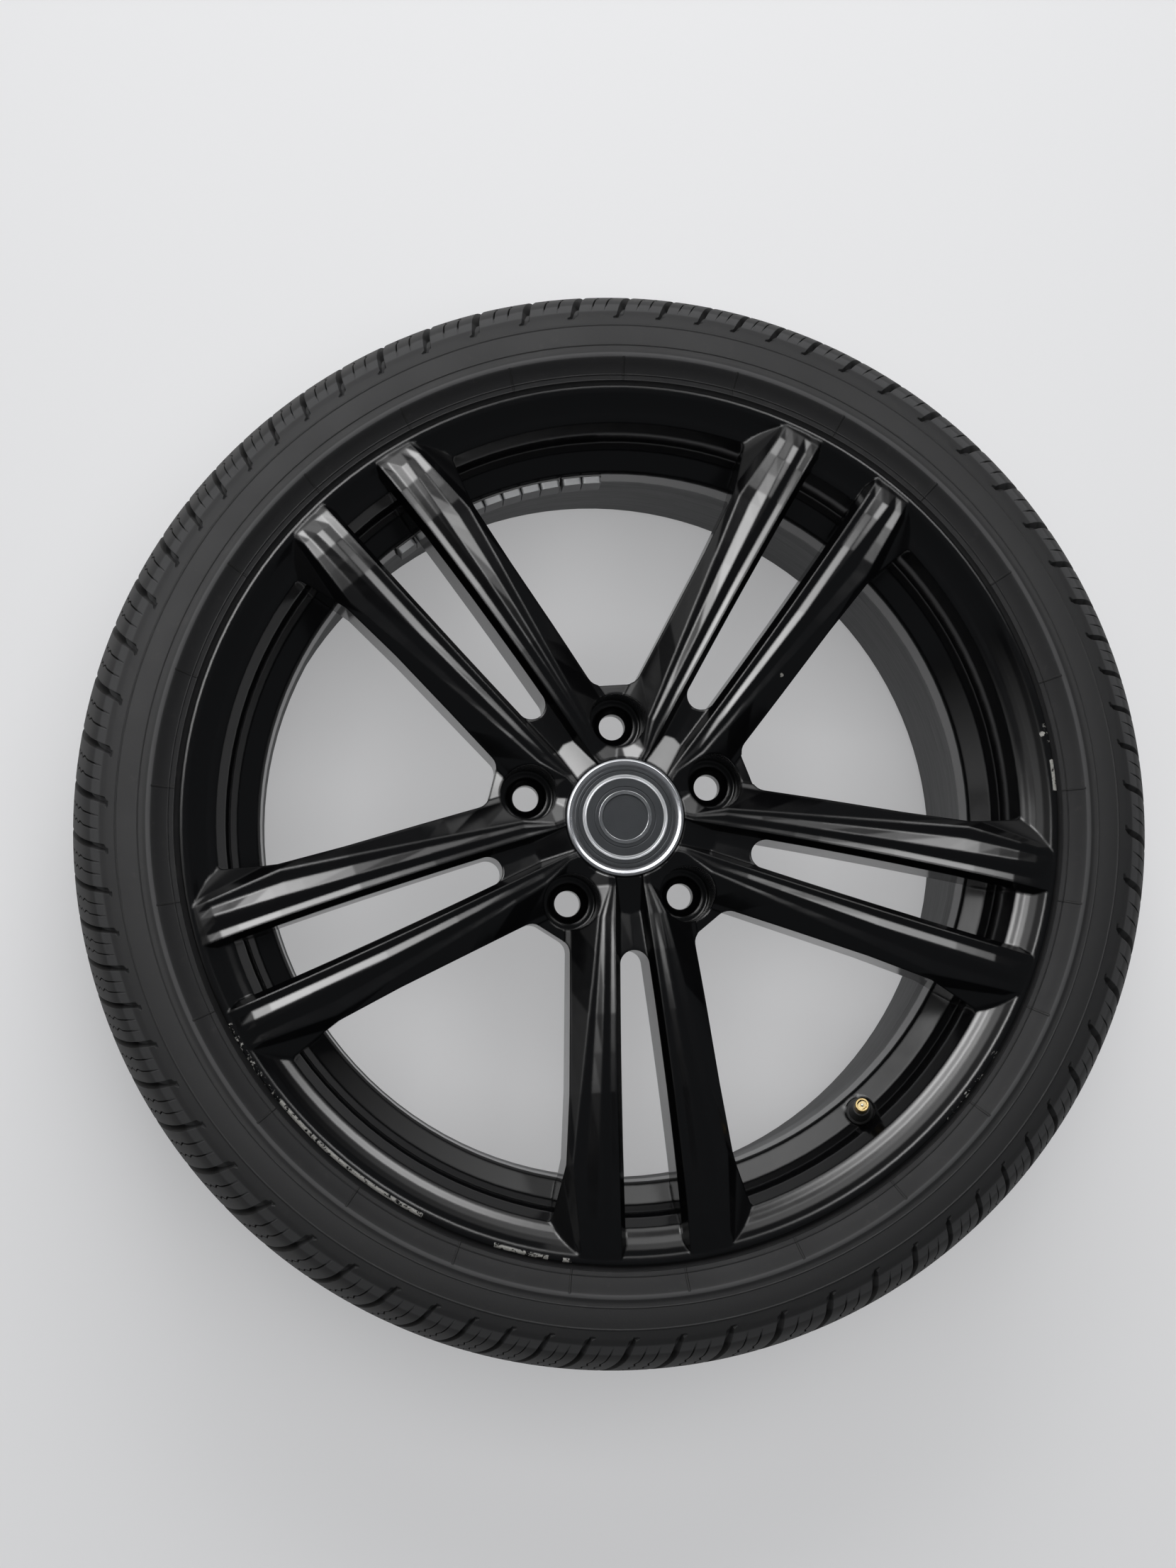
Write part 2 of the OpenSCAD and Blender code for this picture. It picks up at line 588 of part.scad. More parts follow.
module valve_rubber() {
    color([0.07, 0.07, 0.07]) at_valve() rotate_extrude() polygon([[shank_r + bond_gap, -valve_wall - 8.5],
        [valve_hole_r, -valve_wall - 8.5], [valve_hole_r + 1.6, -valve_wall - 1.6],
        [valve_hole_r + 1.6, -valve_wall - bond_gap], [valve_hole_r - bond_gap, -valve_wall - bond_gap],
        [valve_hole_r - bond_gap, bond_gap], [valve_hole_r + 1.9, bond_gap], [valve_hole_r + 1.9, 1.8],
        [valve_hole_r + 0.6, 3], [stem_r + 1.1, rubber_top - 1], [stem_r + 0.8, rubber_top],
        [neck_r + bond_gap, rubber_top], [neck_r + bond_gap, step_z - bond_gap],
        [shank_r + bond_gap, step_z - bond_gap]]);
}

module valve_stem() {
    color([0.78, 0.62, 0.3]) at_valve() rotate_extrude() polygon([[low_bore_r, -valve_wall - 9.5],
        [shank_r, -valve_wall - 9.5], [shank_r, step_z], [neck_r, step_z], [neck_r, thread_z],
        [stem_r, thread_z], [stem_r, valve_len - 0.5],
        [stem_r - 0.4, valve_len], [core_bore_r, valve_len], [core_bore_r, core_shoulder],
        [low_bore_r, core_shoulder - 1.6]]);
}

module valve_core() {
    color([0.85, 0.7, 0.4]) at_valve() difference() {
        union() {
            translate([0, 0, barrel_end]) cylinder(r = 1.75, h = core_shoulder + 1 - barrel_end);
            translate([0, 0, core_shoulder + 0.9])
                cylinder(r = core_bore_r - 0.05, h = core_top - core_shoulder - 0.9);
        }
        translate([0, 0, barrel_end - 1]) cylinder(r = pin_hole_r, h = through);
        translate([0, 0, ledge_z]) cylinder(r = spring_room_r, h = core_top - 1.2 - ledge_z);
        for (s = [-1, 1]) translate([s * (core_bore_r + 0.35) - 1, -5, core_top - 2.4]) cube([2, 10, 5]);
    }
}

module valve_core_seal() {
    color([0.9, 0.9, 0.85]) at_valve() rotate_extrude() polygon([[1.77, core_shoulder - 1.5],
        [low_bore_r - 0.03, core_shoulder - 1.5], [core_bore_r - 0.1, core_shoulder + 0.1],
        [core_bore_r - 0.1, core_shoulder + 0.85], [1.77, core_shoulder + 0.85]]);
}

module valve_pin() {
    foot = barrel_end - 2.6;
    color([0.8, 0.78, 0.7]) at_valve() {
        translate([0, 0, foot]) cylinder(r = pin_r, h = valve_len - 0.3 - foot);
        translate([0, 0, collar_z]) cylinder(r = spring_room_r - 0.12, h = 0.7);
        translate([0, 0, foot]) cylinder(r = 1.1, h = 0.5);
    }
}

module valve_cup() {
    color([0.15, 0.15, 0.15]) at_valve() difference() {
        translate([0, 0, barrel_end - 1.7]) cylinder(r = 1.7, h = 1.68);
        translate([0, 0, barrel_end - 3]) cylinder(r = pin_r + bond_gap, h = 6);
    }
}

// Wire spring between the ledge of the core and the collar of the pin
module valve_spring() {
    wire = 0.14;
    coil_r = 0.95;
    turns = 5;
    per_turn = 10;
    sides = 5;
    bottom = ledge_z + wire + 0.03;
    rise = collar_z - wire - 0.03 - bottom;
    count = turns * per_turn;
    rings = [for (i = [0:count]) let (a = 360 * i / per_turn, z = bottom + rise * i / count)
        [for (j = [0:sides - 1]) let (b = -360 * j / sides)
            [(coil_r + wire * cos(b)) * cos(a), (coil_r + wire * cos(b)) * sin(a), z + wire * sin(b)]]];
    color([0.7, 0.7, 0.72]) at_valve() loft(rings);
}

// Balance weights, on the barrel just behind the spokes
weight_room = 4;
weight_z = offset_z + spoke_back_h - weight_room - weight_w / 2;
tape_gap = 0.1;
strip_gap = 1.7;
weight_step = 2 * asin(weight_pitch / 2 / barrel_r);
strip_a = [52.9, 2];
strip_b = [strip_a[0] + strip_a[1] * weight_step + 2 * asin(strip_gap / 2 / barrel_r), 9];
weight_count = strip_a[1] + strip_b[1];

module weight_tape(strip) {
    color([0.2, 0.2, 0.2]) rotate([0, 0, strip[0]]) rotate_extrude(angle = strip[1] * weight_step)
        translate([barrel_r - tape_t - tape_gap, weight_z - weight_w / 2]) square([tape_t, weight_w]);
}

module weight(i) {
    strip = i < strip_a[1] ? strip_a : strip_b;
    place = i < strip_a[1] ? i : i - strip_a[1];
    outline = rounded([[-weight_len / 2, -weight_w / 2, 1.6], [weight_len / 2, -weight_w / 2, 1.6],
        [weight_len / 2, weight_w / 2, 1.6], [-weight_len / 2, weight_w / 2, 1.6]]);
    color([0.55, 0.56, 0.58]) rotate([0, 0, strip[0] + (place + 0.5) * weight_step])
        translate([barrel_r - tape_gap - tape_t - 0.1 - weight_t, 0, weight_z])
            rotate([90, 0, 90]) linear_extrude(weight_t) polygon(outline);
}

// Every piece stands on the hub mounting face
module placed() {
    translate([0, 0, -offset_z]) children();
}

placed() rim();
placed() tyre();
placed() cap_body();
placed() cap_disc();
placed() cap_emblem_ring();
placed() cap_spring_ring();
placed() valve_rubber();
placed() valve_stem();
placed() valve_core();
placed() valve_core_seal();
placed() valve_pin();
placed() valve_spring();
placed() valve_cup();
placed() weight_tape(strip_a);  // weight_tape_a
placed() weight_tape(strip_b);  // weight_tape_b
for (i = [0:weight_count - 1])
    placed() weight(i);
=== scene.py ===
"""Car wheel and tyre assembly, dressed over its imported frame. Metres; the frame's origin is the hub mounting face."""
import math

import bpy
import numpy as np
from mathutils import Matrix, Vector


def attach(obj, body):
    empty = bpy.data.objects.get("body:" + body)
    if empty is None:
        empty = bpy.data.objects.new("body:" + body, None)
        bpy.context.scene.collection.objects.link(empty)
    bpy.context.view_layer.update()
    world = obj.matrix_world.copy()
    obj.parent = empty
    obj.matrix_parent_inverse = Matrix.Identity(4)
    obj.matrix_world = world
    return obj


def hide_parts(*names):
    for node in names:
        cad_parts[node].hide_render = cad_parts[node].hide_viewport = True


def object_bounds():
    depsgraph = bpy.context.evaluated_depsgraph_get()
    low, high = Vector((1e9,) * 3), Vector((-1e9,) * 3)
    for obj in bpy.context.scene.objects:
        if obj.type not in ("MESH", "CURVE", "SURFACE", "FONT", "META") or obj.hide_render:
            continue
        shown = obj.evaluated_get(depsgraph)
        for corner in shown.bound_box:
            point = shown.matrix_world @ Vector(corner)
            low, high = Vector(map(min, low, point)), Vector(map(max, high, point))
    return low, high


MM = 0.001

# Camera of the photograph, in the part's frame
CAMERA_AT = Vector((-0.1473, 0.0033, 1.2207))
CAMERA_AIM = Vector((-0.0041, 0.0278, 0.0500))
CAMERA_UP = Vector((0.6323, 0.7691, 0.0935))
CAMERA_LENS = 48.0
CAMERA_SENSOR = 36.0

# Main sizes of the wheel, in millimetres, with heights above the rim's middle plane
OFFSET_Z = 51.0
SEAT_R = 231.0
SEAT_HALF = 95.25
LIP_R = SEAT_R + 17.3
LIP_Z = SEAT_HALF + 12.45
TREAD_R = 317.0
TYRE_HALF = 110.6
GUARD_R = LIP_R + 16.3
GUARD_Z = LIP_Z + 3.7

# Tyre pattern: the tread's cross section is a row of arcs, from each slope to the next with the given radius
TREAD_SLOPES = (5.2, 14.4, 26.0, 62.0)
TREAD_BENDS = (170.0, 110.0, 32.0)
SHOULDER_DROP = 3.5
PITCHES = 72
PITCH_RUNS = 6
PITCH_SWING = 1.6
GROOVE_DEPTH = 7.0
SHOULDER_DEPTH = 4.0
SLOT_W = 4.2
SLOT_FLOOR = (0.22, 0.78)
SLOT_FROM_Z = 6.0
RING_GROOVE_Z = 24.0
RING_GROOVE_W = 7.0
SIPE_W = 0.5
SIPE_DEPTH = 5.0
SIPE_FROM_Z = 9.0
SAW_TOOTH = 0.9
ARM_Z = [6.0, 46.0, 115.1]
ARM_SHIFT = [0.0, 20.0, 37.0]
MOULD_LINES = 25

# Bounds of the looks, in metres: heights in the part's frame, and radii
PAINT_FADE_Z = (-0.012, -0.004)
LIP_EDGE_R = (0.2455, 0.2465)
LIP_EDGE_Z = (0.0515, 0.0530)
WALL_R = (0.268, 0.296)
SHOULDER_DUST_R = (0.296, 0.304)
# Painted highlight: thin lighter bands along the top of the guard ridge and of the sidewall ridge by the shoulder
GUARD_HIGHLIGHT_R = (0.2636, 0.2654)
RIDGE_HIGHLIGHT_R = (0.2925, 0.2965)
MOULD_LINE_R = (0.2515, 0.2635)

# Wear: kerb rash on the lip as [from, to, strength] in degrees round the wheel, and chips as (place, radius)
RASH = [(155, 159, 0.45), (168, 180, 0.7), (180, 203, 1.0), (204, 208, 0.4), (213, 220, 0.9), (222, 223, 0.8),
        (277, 282, 0.7), (283, 285, 0.7), (287, 288, 0.7), (324, 328, 1.0), (330.5, 333, 0.6)]
CHIPS = [((44.2, 152.1, 57.0), 3.2), ((120.2, 5.6, 56.0), 2.0), ((215.2, -115.8, 56.0), 2.2),
         ((57.0, 45.0, 45.0), 1.2)]

# Stage: lamps as (name, place, size, power), cards as (name, heading, spread, lowest, highest, distance, glow)
FLOOR_GLOW_SHARE = 0.36
WORLD_LEVEL = 0.10
LAMPS = [("overhead", (0.1, 0.1, 2.6), 1.8, 40.0), ("key", (1.0, 1.25, 1.35), 1.3, 26.0)]
CARDS = [("card_wide", 80.0, 85.0, 10.0, 66.0, 2.4, 3.0), ("card_left", 96.0, 44.0, 40.0, 74.0, 2.3, 15.0),
         ("card_right", 14.0, 26.0, 40.0, 70.0, 2.3, 9.0)]


# Node helpers
class Graph:
    """Builds a material's nodes from short calls. A value may be a number or another node's socket."""

    def __init__(self, name):
        self.material = bpy.data.materials.new(name)
        self.material.use_nodes = True
        self.tree = self.material.node_tree
        self.shader = self.tree.nodes["Principled BSDF"]

    def node(self, kind, **settings):
        node = self.tree.nodes.new(kind)
        for key, value in settings.items():
            setattr(node, key, value)
        return node

    def put(self, socket, value):
        if isinstance(value, bpy.types.NodeSocket):
            self.tree.links.new(value, socket)
        else:
            socket.default_value = value

    def math(self, operation, *values):
        node = self.node("ShaderNodeMath", operation=operation)
        for socket, value in zip(node.inputs, values):
            self.put(socket, value)
        return node.outputs[0]

    def position(self):
        return self.node("ShaderNodeTexCoord").outputs["Object"]

    def axes(self):
        parts = self.node("ShaderNodeSeparateXYZ")
        self.put(parts.inputs[0], self.position())
        return parts.outputs

    def radius(self):
        x, y = self.axes()[:2]
        return self.math("SQRT", self.math("ADD", self.math("MULTIPLY", x, x), self.math("MULTIPLY", y, y)))

    def degrees(self):
        """Angle round the wheel, from 0 to 360."""
        x, y = self.axes()[:2]
        return self.math("FLOORED_MODULO", self.math("DEGREES", self.math("ARCTAN2", y, x)), 360.0)

    def turned(self, along, round_it):
        """Coordinates that stretch a pattern round the axis."""
        parts = self.node("ShaderNodeCombineXYZ")
        x, y, z = self.axes()
        values = (self.radius(), z, self.math("ARCTAN2", y, x))
        for socket, value, scale in zip(parts.inputs, values, (along, along, round_it)):
            self.put(socket, self.math("MULTIPLY", value, scale))
        return parts.outputs[0]

    def distance(self, place):
        """Distance in metres to a place given in millimetres."""
        node = self.node("ShaderNodeVectorMath", operation="DISTANCE")
        self.put(node.inputs[0], self.position())
        node.inputs[1].default_value = [v * MM for v in place]
        return node.outputs["Value"]

    def spans(self, value, spans, soft):
        """Strength of the spans [from, to, strength] that value is in, with short soft ends."""
        total = 0.0
        for low, high, strength in spans:
            total = self.math("ADD", total, self.math("MULTIPLY", self.band(value, low, high, soft), strength))
        return total

    def step(self, value, low, high):
        """0 below low, 1 above high, smooth between."""
        node = self.node("ShaderNodeMapRange", interpolation_type="SMOOTHSTEP")
        for socket, v in zip(node.inputs, (value, low, high, 0.0, 1.0)):
            self.put(socket, v)
        return node.outputs[0]

    def band(self, value, low, high, soft):
        """1 between low and high, 0 outside."""
        above = self.step(value, low - soft, low)
        return self.math("MULTIPLY", above, self.math("SUBTRACT", 1.0, self.step(value, high, high + soft)))

    def noise(self, scale, detail=3.0, rough=0.5, vector=None):
        node = self.node("ShaderNodeTexNoise")
        self.put(node.inputs["Vector"], vector or self.position())
        node.inputs["Scale"].default_value = scale
        node.inputs["Detail"].default_value = detail
        node.inputs["Roughness"].default_value = rough
        return node.outputs["Fac"]

    def mix(self, factor, a, b):
        node = self.node("ShaderNodeMix", data_type="RGBA")
        self.put(node.inputs[0], factor)
        self.put(node.inputs[6], a if isinstance(a, bpy.types.NodeSocket) else (*a, 1.0))
        self.put(node.inputs[7], b if isinstance(b, bpy.types.NodeSocket) else (*b, 1.0))
        return node.outputs[2]

    def blend(self, factor, a, b):
        node = self.node("ShaderNodeMix", data_type="FLOAT")
        for socket, value in zip((node.inputs[0], node.inputs[2], node.inputs[3]), (factor, a, b)):
            self.put(socket, value)
        return node.outputs[0]

    def bump(self, height, distance, strength=1.0, under=None):
        node = self.node("ShaderNodeBump")
        node.inputs["Strength"].default_value = strength
        node.inputs["Distance"].default_value = distance
        self.put(node.inputs["Height"], height)
        if under:
            self.put(node.inputs["Normal"], under)
        return node.outputs[0]

    def round_edges(self, radius):
        node = self.node("ShaderNodeBevel", samples=6)
        node.inputs["Radius"].default_value = radius
        return node.outputs[0]

    def set(self, **sockets):
        names = {"color": "Base Color", "metal": "Metallic", "rough": "Roughness", "normal": "Normal",
                 "specular": "Specular IOR Level"}
        for key, value in sockets.items():
            self.put(self.shader.inputs[names[key]], (*value, 1.0) if isinstance(value, tuple) else value)
        return self.material


# Materials
def rim_material():
    """Gloss black on the face, satin grey in the barrel, with kerb rash and chips down to the metal."""
    g = Graph("rim_paint")
    z = g.axes()[2]
    r = g.radius()
    angle = g.degrees()
    mottle = g.noise(60.0, 4.0, 0.6)
    overspray = g.math("ADD", z, g.math("MULTIPLY", g.math("SUBTRACT", mottle, 0.5), 0.004))
    front = g.step(overspray, *PAINT_FADE_Z)
    speck = g.math("MULTIPLY", g.step(g.noise(520.0, 5.0, 0.7), 0.64, 0.8), g.step(g.noise(11.0, 2.0), 0.45, 0.7))
    black = g.mix(g.math("MULTIPLY", speck, 0.3), (0.0022, 0.0022, 0.0025), (0.06, 0.055, 0.05))
    streak = g.noise(1.0, 4.0, 0.6, g.turned(260.0, 6.0))
    grey = g.mix(g.step(streak, 0.3, 0.7), (0.115, 0.117, 0.12), (0.16, 0.162, 0.165))
    paint = g.mix(front, grey, black)
    edge = g.math("MULTIPLY", g.step(r, *LIP_EDGE_R), g.step(z, *LIP_EDGE_Z))
    jagged = g.math("ADD", g.noise(330.0, 5.0, 0.7), g.math("MULTIPLY", g.spans(angle, RASH, 0.3), 0.5))
    rash = g.math("MULTIPLY", edge, g.step(jagged, 0.90, 0.95))
    for place, size in CHIPS:
        away = g.math("ADD", g.distance(place), g.math("MULTIPLY", g.noise(700.0, 3.0), size * MM))
        rash = g.math("MAXIMUM", rash, g.math("SUBTRACT", 1.0, g.step(away, size * MM * 1.1, size * MM * 1.25)))
    metal = g.mix(g.noise(800.0, 4.0, 0.7), (0.09, 0.088, 0.082), (0.40, 0.39, 0.36))
    color = g.mix(rash, paint, metal)
    rough = g.blend(front, 0.60, g.math("ADD", 0.09, g.math("MULTIPLY", mottle, 0.08)))
    rough = g.blend(rash, rough, 0.65)
    peel = g.bump(g.noise(240.0, 2.0), 0.00003, 0.3, g.round_edges(0.0020))
    pits = g.bump(g.math("MULTIPLY", rash, g.noise(900.0, 3.0)), 0.0006, 0.8, peel)
    return g.set(color=color, rough=rough, normal=pits, specular=0.5)


def tyre_material():
    """Black rubber: darkest in the tread and by the bead, dusty at the shoulder, with painted highlights along the
    guard ridge and the sidewall ridge.
    """
    g = Graph("tyre_rubber")
    r = g.radius()
    grime = g.noise(28.0, 5.0, 0.6)
    fine = g.noise(900.0, 3.0, 0.6)
    color = g.mix(g.band(r, *WALL_R, 0.006), (0.006, 0.006, 0.0064), (0.014, 0.014, 0.0144))
    dust = g.math("MULTIPLY", g.step(r, *SHOULDER_DUST_R), g.step(grime, 0.25, 0.75))
    color = g.mix(dust, color, (0.026, 0.025, 0.024))
    # Painted highlight: lighter rubber colour in thin bands along the tops of the guard ridge and the sidewall ridge
    ridge_highlight = g.math("ADD", g.band(r, *GUARD_HIGHLIGHT_R, 0.0006), g.band(r, *RIDGE_HIGHLIGHT_R, 0.0015))
    color = g.mix(g.math("MULTIPLY", g.math("MINIMUM", ridge_highlight, 1.0), 0.7), color, (0.045, 0.045, 0.046))
    scuffs = g.math("MULTIPLY", g.step(g.noise(140.0, 5.0, 0.7), 0.55, 0.8), 0.35)
    color = g.mix(scuffs, color, (0.028, 0.027, 0.026))
    turn = g.math("MULTIPLY", g.degrees(), MOULD_LINES / 360.0)
    away = g.math("ABSOLUTE", g.math("SUBTRACT", g.math("FRACT", turn), 0.5))
    near = g.math("SUBTRACT", 1.0, g.step(away, 0.006, 0.012))
    line = g.math("MULTIPLY", near, g.band(r, *MOULD_LINE_R, 0.0004))
    color = g.mix(g.math("MULTIPLY", line, 0.8), color, (0.004, 0.004, 0.004))
    normal = g.bump(fine, 0.00010, 0.5, g.round_edges(0.0006))
    normal = g.bump(line, 0.0003, 1.0, normal)
    return g.set(color=color, rough=g.blend(grime, 0.55, 0.72), normal=normal, specular=0.3)


def plain_material(name, color, rough, metal=0.0, scale=200.0, amount=0.25):
    """One colour, mottled: amount is how much darker its darkest places are."""
    g = Graph(name)
    mottle = g.noise(scale, 4.0, 0.6)
    dark = tuple(c * (1.0 - amount) for c in color)
    normal = g.bump(mottle, 0.00005, 0.5, g.round_edges(0.0003))
    color = g.mix(mottle, dark, color)
    return g.set(color=color, rough=g.blend(mottle, rough * 0.8, min(1.0, rough * 1.2)), metal=metal, normal=normal)


def turned_material(name, color, rough, metal, rings, band=None):
    """A round part with fine circular lines, and a bright ring where band gives its radii in millimetres."""
    g = Graph(name)
    r = g.radius()
    lines = g.math("SINE", g.math("MULTIPLY", r, rings))
    mottle = g.noise(120.0, 3.0)
    normal = g.bump(lines, 0.00003, 0.4, g.round_edges(0.0004))
    color = g.mix(mottle, tuple(c * 0.8 for c in color), color)
    if band:
        bright = g.band(r, band[0] * MM, band[1] * MM, 0.0003)
        color = g.mix(bright, color, (0.70, 0.71, 0.73))
        metal = g.blend(bright, metal, 0.9)
        normal = g.bump(bright, 0.0006, 1.0, normal)
    return g.set(color=color, rough=rough, metal=metal, normal=normal)


def dress(frame):
    """Gives the CAD nodes listed here their materials, and every other balance weight zinc."""
    zinc = plain_material("weight_zinc", (0.21, 0.213, 0.217), 0.5, 0.3)
    foam = plain_material("tape", (0.06, 0.06, 0.06), 0.9)
    rubber = plain_material("valve_rubber", (0.02, 0.02, 0.02), 0.65)
    wire = plain_material("wire", (0.55, 0.55, 0.56), 0.3, 1.0)
    finishes = {
        "rim": rim_material(),
        "cap_body": turned_material("cap_silver", (0.62, 0.63, 0.66), 0.22, 0.85, 5000.0),
        "cap_disc": turned_material("cap_grey", (0.045, 0.048, 0.052), 0.28, 0.5, 9000.0, (22.0, 24.0)),
        "cap_emblem_ring": plain_material("cap_bright", (0.72, 0.73, 0.75), 0.18, 1.0),
        "cap_spring_ring": wire,
        "valve_rubber": rubber,
        "valve_stem": plain_material("valve_brass", (0.62, 0.47, 0.22), 0.38, 1.0, 400.0, 0.5),
        "valve_core": plain_material("core_brass", (0.75, 0.6, 0.32), 0.3, 1.0, 500.0),
        "valve_core_seal": plain_material("seal_white", (0.8, 0.8, 0.76), 0.5),
        "valve_pin": plain_material("pin_steel", (0.7, 0.68, 0.62), 0.3, 1.0),
        "valve_spring": wire,
        "valve_cup": rubber,
        "weight_tape_a": foam,
        "weight_tape_b": foam,
    }
    for name, obj in frame["nodes"].items():
        if name.startswith("weight_") and name not in finishes:
            finishes[name] = zinc
        if name not in finishes:
            continue
        for slot in obj.material_slots:
            slot.link = "OBJECT"
            slot.material = finishes[name]


# Tyre
def tyre_profile():
    """Outside of one half as (radius, height) from the tread's middle to the bead, the number of rows in the
    tread, and the heights of the ring groove's edges and floor."""
    slopes = [math.radians(a) for a in TREAD_SLOPES]
    spread = sum(b * (math.sin(t) - math.sin(f)) for b, f, t in zip(TREAD_BENDS, slopes, slopes[1:]))
    flat_z = TYRE_HALF - SHOULDER_DROP - spread
    crown = flat_z / math.sin(slopes[0])
    points = []
    groove = [RING_GROOVE_Z - RING_GROOVE_W / 2, RING_GROOVE_Z - RING_GROOVE_W / 2 + 0.4,
              RING_GROOVE_Z + RING_GROOVE_W / 2 - 0.4, RING_GROOVE_Z + RING_GROOVE_W / 2]
    heights = sorted([0.0, 5.6, 6.4, 9.5, 13.0, 17.0] + groove + list(np.linspace(31.5, flat_z, 4)))
    for z in heights:
        points.append((TREAD_R - crown + math.sqrt(crown ** 2 - z ** 2), z))
    for bend, low, high in zip(TREAD_BENDS, slopes, slopes[1:]):
        r0, z0 = points[-1]
        for t in np.linspace(0, 1, 6)[1:]:
            a = low + (high - low) * t
            points.append((r0 - bend * (math.cos(low) - math.cos(a)), z0 + bend * (math.sin(a) - math.sin(low))))
    tread_rows = len(points)
    start = np.array(points[-1])
    middle = np.array((GUARD_R * 0.4 + start[0] * 0.6, TYRE_HALF + 0.4))
    end = np.array((GUARD_R + 4.0, TYRE_HALF))
    for t in (0.06, 0.12, 0.2, 0.3, 0.32, 0.34, 0.36, 0.5, 0.65, 0.8, 0.9, 0.92, 0.94, 1.0):
        r, z = (1 - t) ** 2 * start + 2 * t * (1 - t) * middle + t ** 2 * end
        points.append((r, z + (0.45 if t in (0.32, 0.34, 0.92) else 0.0)))
    points += [(GUARD_R + 2.6, TYRE_HALF + 0.1), (GUARD_R + 1.8, GUARD_Z - 0.15), (GUARD_R + 0.4, GUARD_Z),
               (GUARD_R - 0.9, GUARD_Z - 0.1), (GUARD_R - 2.4, GUARD_Z - 0.9), (GUARD_R - 4.5, GUARD_Z - 2.6),
               (GUARD_R - 8.0, GUARD_Z - 5.0),
               (LIP_R + 6.4, LIP_Z - 2.2), (LIP_R + 6.0, LIP_Z - 1.9), (LIP_R + 5.6, LIP_Z - 2.5),
               (LIP_R + 3.4, LIP_Z - 3.2), (LIP_R + 3.0, LIP_Z - 2.9), (LIP_R + 2.6, LIP_Z - 3.8),
               (LIP_R + 1.0, LIP_Z - 5.2), (LIP_R - 0.4, LIP_Z - 6.0), (LIP_R - 2.5, LIP_Z - 8.0)]
    return points, tread_rows, groove


def pitch_turn(pitch):
    """Angle of a tread block, with runs of longer and shorter blocks in turn."""
    whole = 360 * pitch / PITCHES
    return math.radians(whole + PITCH_SWING * math.sin(math.radians(PITCH_RUNS * whole)))


def cut_depth(kind, z, past):
    """Depth of a slot or sipe at height z. past is the distance beyond the shoulder, negative before it."""
    if kind == "slot" and z > SLOT_FROM_Z:
        return float(np.interp(past, [-30.0, -1.0, 2.0], [GROOVE_DEPTH, SHOULDER_DEPTH, 0.0]))
    if kind == "sipe" and z > SIPE_FROM_Z:
        return float(np.interp(past, [-20.0, -12.0, -6.0], [SIPE_DEPTH, 1.6, 0.0]))
    return 0.0


def tyre_half(side):
    """One half of the tyre's outside, with slanting grooves, ring groove and sipes cut in. side is 1 or -1."""
    points, tread_rows, groove = tyre_profile()
    profile = np.array(points)
    steps = np.linalg.norm(np.diff(profile, axis=0), axis=1)
    along = np.concatenate([[0.0], np.cumsum(steps)])
    along -= along[tread_rows - 1]
    block = 2 * math.pi * TREAD_R / PITCHES
    slot, sipe = SLOT_W / block, SIPE_W / block
    columns = [(0.0, ""), (SLOT_FLOOR[0] * slot, "slot"), (SLOT_FLOOR[1] * slot, "slot"), (slot, "")]
    for at in (slot + (1 - slot) / 3, slot + (1 - slot) * 2 / 3):
        columns += [(at - sipe, ""), (at - sipe * 0.55, "sipe"), (at + sipe * 0.55, "sipe"), (at + sipe, "")]
    turns = []
    for k in range(PITCHES):
        here = k + (0.5 if side < 0 else 0.0)
        start, length = pitch_turn(here), pitch_turn(here + 1) - pitch_turn(here)
        turns += [(start + length * fraction, kind) for fraction, kind in columns]
    slope = np.gradient(profile, axis=0)
    normal = np.stack([slope[:, 1], -slope[:, 0]], axis=1)
    normal /= np.linalg.norm(normal, axis=1)[:, None]
    grid = np.zeros((len(points), len(turns), 3))
    for i, (r, z) in enumerate(points):
        shift = np.interp(z, ARM_Z, ARM_SHIFT) / r if i < tread_rows else ARM_SHIFT[-1] / r
        zigzag = (SAW_TOOTH if i % 2 else -SAW_TOOTH) / r if 2 < i < tread_rows - 6 else 0.0
        ring = GROOVE_DEPTH if groove[1] - 0.01 <= z <= groove[2] + 0.01 and i < tread_rows else 0.0
        for j, (turn, kind) in enumerate(turns):
            depth = max(ring, cut_depth(kind, z, along[i]) if r > GUARD_R + 10 else 0.0)
            a = turn + shift + (zigzag if j % len(columns) >= 4 else 0.0)
            rr = r - depth * normal[i, 0]
            zz = z - depth * normal[i, 1]
            grid[i, j] = (rr * math.cos(a), rr * math.sin(a), side * zz - OFFSET_Z)
    return grid


def grid_mesh(name, grids):
    """One mesh from (grid, side) pairs, whose points close round their second direction."""
    verts, faces = [], []
    for grid, side in grids:
        rows, cols = grid.shape[:2]
        base = len(verts)
        verts += [tuple(p) for p in (grid.reshape(-1, 3) * MM)]
        for i in range(rows - 1):
            for j in range(cols):
                a, b = base + i * cols + j, base + i * cols + (j + 1) % cols
                quad = (a, b, b + cols, a + cols)
                faces.append(quad if side < 0 else quad[::-1])
    mesh = bpy.data.meshes.new(name)
    mesh.from_pydata(verts, [], faces)
    mesh.update()
    obj = bpy.data.objects.new(name, mesh)
    bpy.context.scene.collection.objects.link(obj)
    return obj


def make_tyre():
    """The tyre's outside as one piece that takes the place of the CAD tyre."""
    tyre = grid_mesh("tyre_carcass", [(tyre_half(1), 1), (tyre_half(-1), -1)])
    for polygon in tyre.data.polygons:
        polygon.use_smooth = True
    tyre.data.set_sharp_from_angle(angle=math.radians(32))
    tyre.data.materials.append(tyre_material())
    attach(tyre, "wheel")
    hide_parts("tyre")


